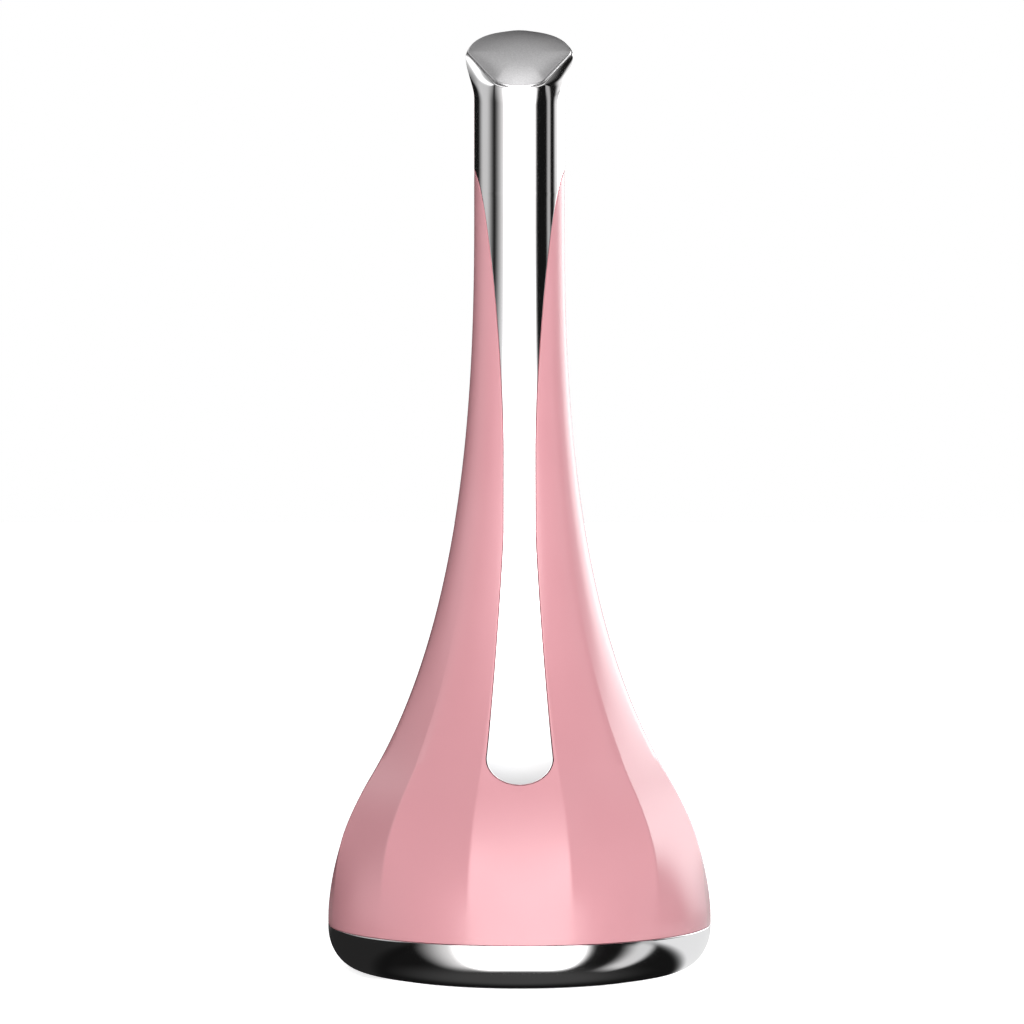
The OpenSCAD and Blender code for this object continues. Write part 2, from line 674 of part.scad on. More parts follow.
weight_inset = 0.3;        // from the motor's side to the weight's
shaft_low_z = motor_z + cap_floor + 0.05;
shaft_out = 0.4;           // how far the shaft stands out of the weight
module motor_shaft() {
    color([0.8, 0.8, 0.8]) translate([0, 0, shaft_low_z])
        cylinder(r = shaft_r, h = weight_z + weight_h + shaft_out - shaft_low_z);
}
module eccentric_weight() {
    color([0.5, 0.5, 0.5]) difference() {
        translate([0, 0, weight_z]) union() {
            cylinder(r = shaft_r + hub_w, h = weight_h);
            intersection() {
                cylinder(r = motor_r - weight_inset, h = weight_h);
                translate([-far, -far, 0]) cube([2 * far, far, weight_h]);
            }
        }
        translate([0, 0, weight_z - past]) cylinder(r = shaft_r, h = weight_h + 2 * past);
    }
}
module motor_sleeve() {
    color([0.15, 0.15, 0.15]) tube(sleeve_r, motor_r, motor_z, motor_h);
}

// ---- leads: their routes are points chosen by hand ----
lead_sides = 8;
// a smooth curve through the points p, between point i and the next
function spline(p, i, t) = let(a = p[max(0, i - 1)], b = p[i], c = p[i + 1],
    d = p[min(len(p) - 1, i + 2)])
    0.5 * (2 * b + (c - a) * t + (2 * a - 5 * b + 4 * c - d) * t * t
        + (3 * b - a - 3 * c + d) * t * t * t);
function route(p) = concat([for (i = [0:len(p) - 2]) for (t = [0, 0.5]) spline(p, i, t)],
    [p[len(p) - 1]]);
function unit(v) = v / norm(v);
// a round lead along a route of points that lies near a plane of constant x
module lead(p) {
    way = route(p);
    n = len(way);
    last = len(p) - 1;
    loft([for (i = [0:n - 1]) let(
        d = unit(i == 0 ? p[1] - p[0] : i == n - 1 ? p[last] - p[last - 1] : way[i + 1] - way[i - 1]),
        u = unit(cross(d, [1, 0.2, 0])), v = cross(u, d))
        [for (k = [0:lead_sides - 1]) let(a = k * 360 / lead_sides)
            way[i] + lead_r * (u * cos(a) - v * sin(a))]]);
}
module battery_leads() {
    front = board_y - board_t;
    color([0.75, 0.12, 0.12]) lead([[3.6, 3.6, cell_top_z + 0.45], [5.2, 5.2, cell_top_z - 0.6],
        [6.8, 6.8, cell_top_z - 5], [6.6, 9, 38], [5.6, 12, 29], [5, front - 1.6, 23.4],
        [5, front - 0.5, 22.4], [5, front, 22.4]]);
    color([0.12, 0.12, 0.12]) lead([[0, cradle_r - 0.4, disc_z + tab_t + lead_r],
        [0, cradle_r + 0.6, disc_z + tab_t + lead_r], [0, cradle_r + 3, 6.6], [0, front - 2.4, 8.8],
        [0, front - 0.6, 9.4], [0, front, 9.4]]);
}
module heater_leads() {
    front = board_y - board_t;
    for (x = lead_x) color([0.9, 0.9, 0.88]) lead([[x, front, 24.2], [x, front - 0.6, 24.2],
        [x, front - 2.6, 26], [x, front - 4.6, 31], [x, 10, 42], [x, 9.2, 52], [x, 7.5, 62],
        [x, 6, 72], [x, 4.9, 84], [x, 4.35, 96], [x, 4.35, 108], [x, 4.3, 118], [x, 2.4, 124],
        [x, lead_in_y, lead_top_z - 3], [x, lead_in_y, lead_top_z]]);
}
module motor_leads() {
    front = board_y - board_t;
    for (x = lead_x) color([0.2, 0.3, 0.8]) lead([[-x, front, 27], [-x, front - 0.6, 27],
        [-x, front - 2.6, 28.6], [-x, front - 4.6, 33], [-x, 10, 42], [-x, 9.2, 52], [-x, 7.4, 62],
        [-x, 5, 72], [-x, 2.6, 82], [-x, 1, 92], [-x, 0.6, motor_z - 2], [-x, 0.6, motor_z - eps]]);
}

body_shell();
front_spine();
massage_plate();
plate_gasket();
heater_disc();
heat_sensor();
heat_insulator();
plate_carrier();
base_ring();
foot_pad();
base_screws();
inner_frame();
battery_cell();
battery_tabs();
battery_pad();
main_board();
board_chips();
tact_switch();
switch_plunger();
power_button();
usb_socket();
usb_tongue();
status_led();
light_pipe();
motor_can();
motor_magnet();
motor_cap();
motor_sleeve();
motor_shaft();
coil_cup();
eccentric_weight();
battery_leads();
heater_leads();
motor_leads();
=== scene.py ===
import json
import math

import bpy
from mathutils import Matrix, Vector


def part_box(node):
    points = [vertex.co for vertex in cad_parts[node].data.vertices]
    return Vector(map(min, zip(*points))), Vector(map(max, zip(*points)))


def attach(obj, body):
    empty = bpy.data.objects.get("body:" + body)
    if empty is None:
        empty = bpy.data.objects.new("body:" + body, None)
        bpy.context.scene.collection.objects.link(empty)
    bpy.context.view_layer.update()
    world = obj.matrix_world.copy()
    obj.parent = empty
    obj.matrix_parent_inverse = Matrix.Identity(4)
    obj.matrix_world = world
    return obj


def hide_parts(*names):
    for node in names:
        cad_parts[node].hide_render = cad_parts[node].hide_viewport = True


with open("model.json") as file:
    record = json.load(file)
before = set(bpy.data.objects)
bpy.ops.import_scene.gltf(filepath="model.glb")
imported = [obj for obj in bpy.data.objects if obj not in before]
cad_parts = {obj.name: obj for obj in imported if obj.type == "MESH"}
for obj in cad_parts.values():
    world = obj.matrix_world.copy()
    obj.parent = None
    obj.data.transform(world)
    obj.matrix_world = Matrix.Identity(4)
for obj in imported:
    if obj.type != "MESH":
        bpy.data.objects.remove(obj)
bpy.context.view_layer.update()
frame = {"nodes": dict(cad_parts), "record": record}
mm = 0.001  # sizes below are in millimetres and are turned into metres where a mesh is made


# the wand's own curves, much as the construction draws them
wand = dict(
    bellRadius=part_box("base_ring")[1].x / mm,
    bulgeHeight=8.1, bulgePull=2,  # the bell starts to draw in at this height
    turnRadius=22.1, turnHeight=28.2, turnSlope=0.6,  # where round turns to hollow
    turnPullDown=9.2, turnPullUp=25,  # how far the curve is drawn along that slope, below and above
    neckRadius=6.7, neckHeight=112, neckPull=21,
    facetStep=30,  # degrees from one facet to the next
    facetsGrow=(10, 21.5), facetsMelt=(22, 62),
    wall=1.6, seamGap=0.15,
)

head = dict(
    flareHeight=124, flareStart=0.45, frontHeight=129.2, tilt=math.radians(38),
    cornerAngle=106, cornerSpread=62, cornerOut=1.42,
    flatAngle=58, flatReach=5.92,  # the plate's straight sides, between its corners and the front
    flatLimit=65, flatBlend=0.02,
    lipHeight=2.5, lipThickness=0.22,
    bevelSlope=1.75, bevelStart=0.1,  # the bevel from those sides down to the flare: its depth for its width
    bevelBulge=0.075, bulgeOut=0.9, bulgeUp=0.4,  # how round it is, and which way it swells
)

spine = dict(
    endHeight=3.6, tongueHeight=32.5, tongueWidth=4.7,
    tonguePull=9, tongueDraw=1.05,  # how the tongue's side sets off towards the waist
    waistLow=64.5, waistTop=76, waistWidth=2.3, waistPullDown=2, waistPullUp=12.5,
    lapelHeight=118.2, lapelPull=4.5, lapelDraw=2.25, sideAngle=84,
)


def smoothStep(t):
    t = min(1, max(0, t))
    return t * t * (3 - 2 * t)


def bezier(points, t):
    a, b, c, d = points
    u = 1 - t
    return tuple(u ** 3 * a[k] + 3 * u ** 2 * t * b[k] + 3 * u * t * t * c[k] + t ** 3 * d[k] for k in (0, 1))


def readTable(table, x):
    for (x0, y0), (x1, y1) in zip(table, table[1:]):
        if x <= x1:
            return y0 + (y1 - y0) * max(0, x - x0) / max(1e-9, x1 - x0)
    return table[-1][1]


def bellTable():
    w = wand
    turn = (w["turnHeight"], w["turnRadius"])
    down, up = w["turnPullDown"], w["turnPullUp"]
    bulge = [(w["bulgeHeight"], w["bellRadius"]), (w["bulgeHeight"] + w["bulgePull"], w["bellRadius"]),
             (turn[0] - down, turn[1] + w["turnSlope"] * down), turn]
    hollow = [turn, (turn[0] + up, turn[1] - w["turnSlope"] * up),
              (w["neckHeight"] - w["neckPull"], w["neckRadius"]), (w["neckHeight"], w["neckRadius"])]
    bulgeSteps, hollowSteps = 60, 160
    return ([(0, w["bellRadius"])] + [bezier(bulge, i / bulgeSteps) for i in range(bulgeSteps)]
            + [bezier(hollow, i / hollowSteps) for i in range(hollowSteps + 1)])


bellCurve = bellTable()


def skinRadius(z):
    return readTable(bellCurve, z)


def facetShare(z):
    (growLow, growHigh), (meltLow, meltHigh) = wand["facetsGrow"], wand["facetsMelt"]
    grown = smoothStep((z - growLow) / (growHigh - growLow))
    return grown * (1 - smoothStep((z - meltLow) / (meltHigh - meltLow)))


def offFacet(angle):  # degrees from the middle of the nearest facet
    step = wand["facetStep"]
    return (angle + step / 2) % step - step / 2


def roundPoint(angle, radius, z):  # angle in degrees from the front, round to the right
    a = math.radians(angle)
    return Vector((radius * math.sin(a), -radius * math.cos(a), z))


def skinPoint(angle, z):
    corner = 1 / math.cos(math.radians(offFacet(angle)))
    return roundPoint(angle, skinRadius(z) * (1 + facetShare(z) * (corner - 1)), z)


def turnFrom(angle, side):  # degrees from a direction that the head has on both its sides
    return min(abs((angle - a + 540) % 360 - 180) for a in (side, -side))


def rimRadius(angle):
    off = turnFrom(angle, head["cornerAngle"])
    return wand["neckRadius"] + head["cornerOut"] * smoothStep(1 - off / head["cornerSpread"])


def plateRadius(angle):  # the smaller of the round rim and the straight sides, a little blended
    h = head
    curved = rimRadius(angle) - h["lipThickness"]
    straight = h["flatReach"] / math.cos(math.radians(min(turnFrom(angle, h["flatAngle"]), h["flatLimit"])))
    return (curved + straight - math.sqrt((curved - straight) ** 2 + h["flatBlend"])) / 2


faceMiddle = head["frontHeight"] + wand["neckRadius"] * math.tan(head["tilt"])


def faceHeight(y):
    return faceMiddle + y * math.tan(head["tilt"])


def headPoint(angle, t):  # t goes from 0 where the flare starts to 1 at the slanted rim
    neck, reach = wand["neckRadius"], rimRadius(angle)
    top = faceHeight(-reach * math.cos(math.radians(angle)))
    radius = neck + (reach - neck) * smoothStep((t - head["flareStart"]) / (1 - head["flareStart"]))
    return roundPoint(angle, radius, head["flareHeight"] + (top - head["flareHeight"]) * t)


def headShare(angle, depth):  # the t at which the head lies that deep under the face, square to it
    low, high, halvings = 0, 1, 24
    for _ in range(halvings):
        t = (low + high) / 2
        p = headPoint(angle, t)
        if (faceHeight(p.y) - p.z) * math.cos(head["tilt"]) > depth:
            low = t
        else:
            high = t
    return low


def spineTable():
    s = spine
    tongue = [(s["tongueHeight"], s["tongueWidth"]),
              (s["tongueHeight"] + s["tonguePull"], s["tongueWidth"] - s["tongueDraw"]),
              (s["waistLow"] - s["waistPullDown"], s["waistWidth"]), (s["waistLow"], s["waistWidth"])]
    lapel = [(s["waistTop"], s["waistWidth"]), (s["waistTop"] + s["waistPullUp"], s["waistWidth"]),
             (s["lapelHeight"] - s["lapelPull"], wand["neckRadius"] - s["lapelDraw"]),
             (s["lapelHeight"], wand["neckRadius"])]
    tongueSteps, lapelSteps = 40, 60
    return ([bezier(tongue, i / tongueSteps) for i in range(tongueSteps + 1)]
            + [bezier(lapel, i / lapelSteps) for i in range(lapelSteps + 1)])


spineCurve = spineTable()


def spineAngle(z, gap=0):  # half angle that the spine takes of the skin at this height, in degrees
    s = spine
    below = s["tongueHeight"] - z
    if below > s["endHeight"] + gap:
        return 0
    if below > 0:
        width = (s["tongueWidth"] + gap) * math.sqrt(max(0, 1 - (below / (s["endHeight"] + gap)) ** 2))
    else:
        width = readTable(spineCurve, z) + gap
    part, share = min(1, width / skinRadius(z)), facetShare(z)
    side = s["sideAngle"] + math.degrees(gap / wand["neckRadius"])
    return min(side, math.degrees(share * math.atan(part) + (1 - share) * math.asin(part)))


def span(low, high, step):  # even heights from low up to but not including high
    count = max(1, round((high - low) / step))
    return [low + (high - low) * i / count for i in range(count)]


def endHeights(gap, count=12):  # heights round the tongue's lower end, close together at its tip
    reach = spine["endHeight"] + gap
    return [spine["tongueHeight"] - reach * math.cos(math.radians(90 * i / count)) for i in range(count)]


def deselectAll():
    bpy.ops.object.select_all(action="DESELECT")


def useOnly(piece):
    deselectAll()
    piece.select_set(True)
    bpy.context.view_layer.objects.active = piece


def wrapGrid(name, rows):  # a flat grid whose vertices are moved onto rows of points
    deselectAll()
    across, along = len(rows[0]) - 1, len(rows) - 1
    bpy.ops.mesh.primitive_grid_add(x_subdivisions=across, y_subdivisions=along, size=1)
    piece = bpy.context.object
    piece.name = piece.data.name = name
    places = []
    for v in piece.data.vertices:
        i, j = round((v.co.x + 0.5) * across), round((v.co.y + 0.5) * along)
        places.extend(rows[j][i] * mm)
    piece.data.vertices.foreach_set("co", places)
    piece.data.update()
    return piece


def joinPieces(pieces):
    deselectAll()
    for p in pieces:
        p.select_set(True)
    bpy.context.view_layer.objects.active = pieces[0]
    bpy.ops.object.join()
    return pieces[0]


def weld(piece, distance=2e-6):
    useOnly(piece)
    bpy.ops.object.mode_set(mode="EDIT")
    bpy.ops.mesh.select_all(action="SELECT")
    bpy.ops.mesh.remove_doubles(threshold=distance)
    bpy.ops.mesh.dissolve_degenerate(threshold=1e-7)
    bpy.ops.mesh.normals_make_consistent(inside=False)
    bpy.ops.object.mode_set(mode="OBJECT")


def addModifier(piece, kind, **settings):
    useOnly(piece)
    made = piece.modifiers.new(kind.lower(), kind)
    for key, value in settings.items():
        setattr(made, key, value)
    bpy.ops.object.modifier_apply(modifier=made.name)


def roundEdges(piece, sizes):
    addModifier(piece, "BEVEL", width=sizes["edgeRound"] * mm, segments=2, limit_method="ANGLE",
                angle_limit=sizes["edgeAngle"], use_clamp_overlap=True, loop_slide=False)


def smooth(piece, degrees):
    useOnly(piece)
    bpy.ops.object.shade_smooth_by_angle(angle=math.radians(degrees))


def finishPiece(piece, body, slot, material, *nodes):
    piece.data.materials.clear()
    piece.data.materials.append(material)
    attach(piece, body)
    if nodes:
        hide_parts(*nodes)
    return piece


class Wire:  # a socket in a node tree that takes part in sums
    def __init__(self, tree, socket=None):
        self.tree, self.socket = tree, socket

    def node(self, kind, settings=None, values=None, out=0):
        made = self.tree.nodes.new(kind)
        for key, value in (settings or {}).items():
            setattr(made, key, value)
        for key, value in (values or {}).items():
            if isinstance(value, Wire):
                self.tree.links.new(value.socket, made.inputs[key])
            else:
                made.inputs[key].default_value = value
        return Wire(self.tree, made.outputs[out])

    def beside(self, name):  # another output of the same node
        return Wire(self.tree, self.socket.node.outputs[name])

    def into(self, shader, name):
        self.tree.links.new(self.socket, shader.inputs[name])

    def sum(self, operation, first, second=0.0):
        return self.node("ShaderNodeMath", {"operation": operation}, {0: first, 1: second})

    def __add__(self, other):
        return self.sum("ADD", self, other)

    def __radd__(self, other):
        return self.sum("ADD", other, self)

    def __sub__(self, other):
        return self.sum("SUBTRACT", self, other)

    def __rsub__(self, other):
        return self.sum("SUBTRACT", other, self)

    def __mul__(self, other):
        return self.sum("MULTIPLY", self, other)

    def __rmul__(self, other):
        return self.sum("MULTIPLY", other, self)

    def parts(self):
        split = self.node("ShaderNodeSeparateXYZ", {}, {0: self})
        return [split.beside(name) for name in "XYZ"]

    def turn(self):  # degrees round the wand from the camera's side towards the right
        x, y = self.parts()[:2]
        return self.sum("ARCTAN2", x, -1 * y) * math.degrees(1)

    def step(self, low, high, start=0.0, end=1.0):
        values = {"Value": self, "From Min": low, "From Max": high, "To Min": start, "To Max": end}
        return self.node("ShaderNodeMapRange", {"interpolation_type": "SMOOTHSTEP"}, values)

    def mixColour(self, first, second):
        return self.node("ShaderNodeMix", {"data_type": "RGBA"}, {0: self, 6: first, 7: second}, out=2)


def linear(red, green, blue):  # a colour as seen on screen, 0 to 255, as light
    parts = [c / 255 for c in (red, green, blue)]
    return tuple(c / 12.92 if c <= 0.04045 else ((c + 0.055) / 1.055) ** 2.4 for c in parts) + (1,)


def newMaterial(name):
    made = bpy.data.materials.new(name)
    made.use_nodes = True
    shader = made.node_tree.nodes["Principled BSDF"]
    return made, shader, Wire(made.node_tree)


def surfaceNoise(wire, scale, detail=2.0, roughness=0.5, stretch=(1, 1, 1)):
    place = wire.node("ShaderNodeTexCoord", out=3)
    place = wire.node("ShaderNodeMapping", {}, {"Vector": place, "Scale": stretch})
    return wire.node("ShaderNodeTexNoise", {}, {"Vector": place, "Scale": scale, "Detail": detail,
                                               "Roughness": roughness})


def addRelief(shader, height, strength, depth):
    relief = height.node("ShaderNodeBump", {}, {"Strength": strength, "Distance": depth, "Height": height})
    relief.into(shader, "Normal")


# a moulded, drawn or sheathed surface: a slightly uneven colour, uneven gloss and a fine grain
def plainFinish(name, colour, rough, metal=0.0, grain=900, grainStrength=0.4, tone=0.06, coat=0.0):
    made, shader, wire = newMaterial(name)
    broad = surfaceNoise(wire, 90, 3)
    fine = surfaceNoise(wire, grain, 2)
    darker = tuple(c * (1 - tone * 2) for c in colour[:3]) + (1,)
    lighter = tuple(min(1, c * (1 + tone)) for c in colour[:3]) + (1,)
    broad.mixColour(darker, lighter).into(shader, "Base Color")
    (fine * 0.12 + (rough - 0.06)).into(shader, "Roughness")
    addRelief(shader, fine, grainStrength, 0.00002)
    shader.inputs["Metallic"].default_value = metal
    shader.inputs["Coat Weight"].default_value = coat
    return made


pinkFinish = dict(colour=linear(231, 166, 174), deeper=linear(226, 160, 168), rough=0.2,
                  cloudScale=35, grainScale=2600, grainStrength=0.25, grainDepth=0.000004)


def makePink():
    p = pinkFinish
    made, shader, wire = newMaterial("rosePlastic")
    cloud = surfaceNoise(wire, p["cloudScale"], 2)
    grain = surfaceNoise(wire, p["grainScale"], 2)
    cloud.step(0.3, 0.7).mixColour(p["deeper"], p["colour"]).into(shader, "Base Color")
    (grain * 0.06 + cloud * 0.04 + (p["rough"] - 0.05)).into(shader, "Roughness")
    addRelief(shader, grain, p["grainStrength"], p["grainDepth"])
    shader.inputs["IOR"].default_value = 1.5
    return made


chromeFinish = dict(colour=linear(242, 242, 243), warmer=linear(238, 236, 236), rough=0.09,
                    cloudScale=60, swellScale=140, swellStrength=0.3, swellDepth=0.000006)


def makeChrome():
    c = chromeFinish
    made, shader, wire = newMaterial("mirrorChrome")
    cloud = surfaceNoise(wire, c["cloudScale"], 3)
    swell = surfaceNoise(wire, c["swellScale"], 1)
    cloud.step(0.35, 0.7).mixColour(c["warmer"], c["colour"]).into(shader, "Base Color")
    (cloud * 0.03 + (c["rough"] - 0.015)).into(shader, "Roughness")
    addRelief(shader, swell, c["swellStrength"], c["swellDepth"])
    shader.inputs["Metallic"].default_value = 1
    return made


plateFinish = dict(colour=linear(200, 199, 200), darker=linear(184, 183, 184), rough=0.36,
                   cloudScale=220, grainScale=5200, grainStrength=0.5, grainDepth=0.00001)


def makeSatin():
    s = plateFinish
    made, shader, wire = newMaterial("satinPlate")
    grain = surfaceNoise(wire, s["grainScale"], 3, 0.7)
    cloud = surfaceNoise(wire, s["cloudScale"], 2)
    grain.step(0.35, 0.65).mixColour(s["darker"], s["colour"]).into(shader, "Base Color")
    (grain * 0.1 + cloud * 0.05 + (s["rough"] - 0.075)).into(shader, "Roughness")
    addRelief(shader, grain, s["grainStrength"], s["grainDepth"])
    shader.inputs["Metallic"].default_value = 1
    return made


# the studio: a panorama for reflections, a plain level for everything else, more of it from behind
studio = dict(fill=0.22, backFill=1.2, backStart=(0.3, 0.9), gloom=0.008)

# What the glossy surfaces see: each window opens and closes over turn, in degrees from the camera's side
# towards the right, and over rise above level, as (starts, full, still full, gone)
allRound = (-400, -399, 399, 400)
overhead = (40, 60, 95, 99)
windows = [
    dict(name="frontPanel", turn=(-44, -22, 22, 46), rise=(-66, -44, 3, 62), bright=4.7),
    dict(name="frontSkirt", turn=(-68, -34, 34, 47), rise=(-66, -44, 38, 76), bright=1.0),
    dict(name="frontCeiling", turn=(-80, -35, 35, 80), rise=(60, 74, 95, 99), bright=0.9),
    dict(name="leftPanel", turn=(-130, -103, -93, -66), rise=(-8, 3, 45, 70), bright=0.62),
    dict(name="leftLip", turn=(-122, -110, -94, -84), rise=(26, 35, 44, 52), bright=0.8),
    dict(name="rightLine", turn=(71, 79, 83, 88), rise=(-12, -6, 55, 70), bright=0.46),
    dict(name="rightStreak", turn=(62, 78, 84, 93), rise=(-62, -44, -12, -5), bright=0.7),
    dict(name="rearEdge", turn=(95, 107, 112, 126), rise=(-2, 8, 26, 36), bright=1.0),
    dict(name="rearPanel", turn=(110, 124, 130, 143), rise=(-6, 10, 38, 55), bright=3.5),
    dict(name="rearBack", turn=(130, 143, 148, 166), rise=(-6, 8, 13, 23), bright=3.5),
    dict(name="rearGlow", turn=(112, 129, 175, 184), rise=(-8, -3, 13, 25), bright=1.1),
    dict(name="leftBack", turn=(-176, -164, -132, -118), rise=(14, 24, 42, 56), bright=0.95),
    dict(name="table", turn=allRound, rise=(-110, -100, -75, -40), bright=0.05),
    dict(name="ceiling", turn=allRound, rise=overhead, bright=0.08),
    dict(name="ceilingRight", turn=(60, 150, 399, 400), rise=overhead, bright=0.2),
    dict(name="ceilingBack", turn=(-400, -399, -180, -120), rise=overhead, bright=0.1),
    dict(name="zenith", turn=allRound, rise=(62, 86, 95, 99), bright=1.6),
]


def makeWorld():
    world = bpy.data.worlds.new("studio")
    bpy.context.scene.world = world
    world.use_nodes = True
    tree = world.node_tree
    tree.nodes.clear()
    wire = Wire(tree)
    toward = wire.node("ShaderNodeTexCoord")
    y, z = toward.parts()[1:]
    turn = toward.turn()
    rise = wire.sum("ARCSINE", z) * math.degrees(1)
    room = studio["gloom"]
    for w in windows:
        a, b = w["turn"], w["rise"]
        across = turn.step(a[0], a[1]) * turn.step(a[2], a[3], 1.0, 0.0)
        upward = rise.step(b[0], b[1]) * rise.step(b[2], b[3], 1.0, 0.0)
        room = room + across * upward * w["bright"]

    def backdrop(strength):
        return wire.node("ShaderNodeBackground", {}, {"Color": (1, 1, 1, 1), "Strength": strength})

    path = wire.node("ShaderNodeLightPath")
    plain = backdrop(y.step(*studio["backStart"]) * studio["backFill"] + studio["fill"])
    lit = wire.node("ShaderNodeMixShader", {}, {0: path.beside("Is Glossy Ray"), 1: plain, 2: backdrop(room)})
    white = wire.sum("MAXIMUM", path.beside("Is Camera Ray"), path.beside("Is Transmission Ray"))
    shown = wire.node("ShaderNodeMixShader", {}, {0: white, 1: lit, 2: backdrop(1.0)})
    shown.into(tree.nodes.new("ShaderNodeOutputWorld"), "Surface")


lamps = [
    dict(name="keyLamp", place=(0.07, -0.835, 0.36), aim=(0, 0, 0.07), size=0.5, watts=5.95),
]


def makeLamps():
    for lamp in lamps:
        data = bpy.data.lights.new(lamp["name"], "AREA")
        data.shape, data.size, data.energy = "DISK", lamp["size"], lamp["watts"]
        thing = bpy.data.objects.new(lamp["name"], data)
        bpy.context.collection.objects.link(thing)
        thing.location = lamp["place"]
        aim = Vector(lamp["aim"]) - Vector(lamp["place"])
        thing.rotation_euler = aim.to_track_quat("-Z", "Y").to_euler()
        thing.visible_glossy = False


# seen in reflections close to the wand, the table glows with painted light on the right and behind, and is
# painted dark as shade on the left; the studio shows beyond its reach
table = dict(size=80, lift=0.81, reach=(0.09, 0.17), rightPaintedLight=0.85, rightStart=(60, 76),
             leftPaintedShade=0.02, leftStart=(-62, -46), backPaintedLight=0.3, backStart=(125, 175))


def makeFloor():
    t = table
    deselectAll()
    bpy.ops.mesh.primitive_plane_add(size=t["size"], location=(0, 0, 0))
    floor = bpy.context.object
    floor.name = floor.data.name = "tableTop"
    made, shader, wire = newMaterial("paleTable")
    made.node_tree.nodes.remove(shader)

    def glowing(strength):
        return wire.node("ShaderNodeEmission", {}, {"Color": (1, 1, 1, 1), "Strength": strength})

    path = wire.node("ShaderNodeLightPath")
    tone = surfaceNoise(wire, 30, 2).mixColour((0.9, 0.9, 0.9, 1), (0.92, 0.92, 0.92, 1))
    paint = wire.node("ShaderNodeBsdfDiffuse", {}, {"Color": tone})
    lift = glowing(path.beside("Is Camera Ray") * t["lift"])
    plain = wire.node("ShaderNodeAddShader", {}, {0: paint, 1: lift})
    place = wire.node("ShaderNodeTexCoord", out=3)
    x, y = place.parts()[:2]
    turn = place.turn()
    near = wire.sum("SQRT", x * x + y * y).step(*t["reach"], 1.0, 0.0)
    right = turn.step(*t["rightStart"])
    left = turn.step(*t["leftStart"], 1.0, 0.0)
    behind = turn.step(*t["backStart"]) + (-1 * turn).step(*t["backStart"])
    # painted reflection: near the wand, glossy rays see the table glow as painted light on the right and
    # behind, and painted shade on the left
    level = (right * t["rightPaintedLight"] + left * t["leftPaintedShade"]) * (1 - behind) + behind * t["backPaintedLight"]
    clear = wire.node("ShaderNodeBsdfTransparent")
    paintedReflection = wire.node("ShaderNodeMixShader", {}, {0: near * (right + left), 1: clear, 2: glowing(level)})
    shown = wire.node("ShaderNodeMixShader", {}, {0: path.beside("Is Glossy Ray"), 1: plain, 2: paintedReflection})
    shown.into(made.node_tree.nodes["Material Output"], "Surface")
    floor.data.materials.append(made)


view = dict(place=(-0.0011, -0.5, 0.0675), lens=118.8, sensor=36, nearest=0.01, farthest=20)


def makeCamera():
    data = bpy.data.cameras.new("camera")
    data.lens, data.sensor_width = view["lens"], view["sensor"]
    data.clip_start, data.clip_end = view["nearest"], view["farthest"]
    camera = bpy.data.objects.new("camera", data)
    bpy.context.collection.objects.link(camera)
    camera.location = view["place"]
    camera.rotation_euler = (math.radians(90), 0, 0)
    bpy.context.scene.camera = camera


shell = dict(
    bottom=6.95, frontShares=(0, 0.22, 0.45, 0.7),
    creaseSide=0.35, creaseInner=0.875,  # degrees from a crease to the columns on each side of it
    facetColumns=7, openingMargin=3,
    rowStep=0.9, topRowStep=1.0, headRows=24,
    edgeRound=0.09, edgeAngle=math.radians(50),
)


# the columns on one side: shares of the way from the opening to the first crease, then degrees from the front
def shellAngles():
    side, inner = shell["creaseSide"], shell["creaseInner"]
    step, columns = wand["facetStep"], shell["facetColumns"]
    near = list(shell["frontShares"]) + [1 - inner / (step / 2), 1 - side / (step / 2)]
    far = []
    crease = step / 2
    while crease < 180:
        far.append(crease + side)
        far += [crease + inner + (step - 2 * inner) * i / columns for i in range(columns + 1)]
        far.append(crease + step - side)
        crease += step
    far = sorted(a for a in far if a <= 180.001)
    if far[-1] < 179.9:
        far.append(180)
    return near, far


def shellAngle(near, far, i, opening):
    firstCrease = wand["facetStep"] / 2
    pivot = max(firstCrease, opening + shell["openingMargin"]) if opening > 0 else firstCrease
    if i < len(near):
        return opening + near[i] * (pivot - opening)
    return pivot + (far[i - len(near)] - firstCrease) * (180 - pivot) / (180 - firstCrease)


def makeShell(material):
    near, far = shellAngles()
    half = len(near) + len(far)
    gap, s = wand["seamGap"], spine
    tip = s["tongueHeight"] - s["endHeight"] - gap
    heights = (span(shell["bottom"], tip, shell["rowStep"]) + endHeights(gap)
               + span(s["tongueHeight"], head["flareHeight"], shell["topRowStep"]))
    side = s["sideAngle"] + math.degrees(gap / wand["neckRadius"])

    def ringAngles(opening):
        right = [shellAngle(near, far, i, opening) for i in range(half)]
        return right + [360 - a for a in reversed(right[:-1])]

    rows = [[skinPoint(a, z) for a in ringAngles(spineAngle(z, gap))] for z in heights]
    for k in range(shell["headRows"] + 1):
        share = k / shell["headRows"]
        rows.append([headPoint(a, headShare(a, head["lipHeight"] + gap) * share) for a in ringAngles(side)])
    piece = wrapGrid("pinkShell", rows)
    weld(piece)
    addModifier(piece, "SOLIDIFY", thickness=wand["wall"] * mm, offset=-1)
    cutBack(piece)
    roundEdges(piece, shell)
    smooth(piece, 28)
    return finishPiece(piece, "housing", "pink_shell", material, "body_shell")


back = dict(
    cutMiddle=29.5, cutDepth=20,  # where the cutters stand behind the axis, and how long they are
    buttonHeight=19, buttonRadius=4, buttonProud=0.4, buttonGap=0.08,
    socketHeight=11.6, socketWide=8.94, socketTall=3.16, socketGap=0.2,
    lightHeight=25.6, lightRadius=0.9, lightGap=0.06,
)


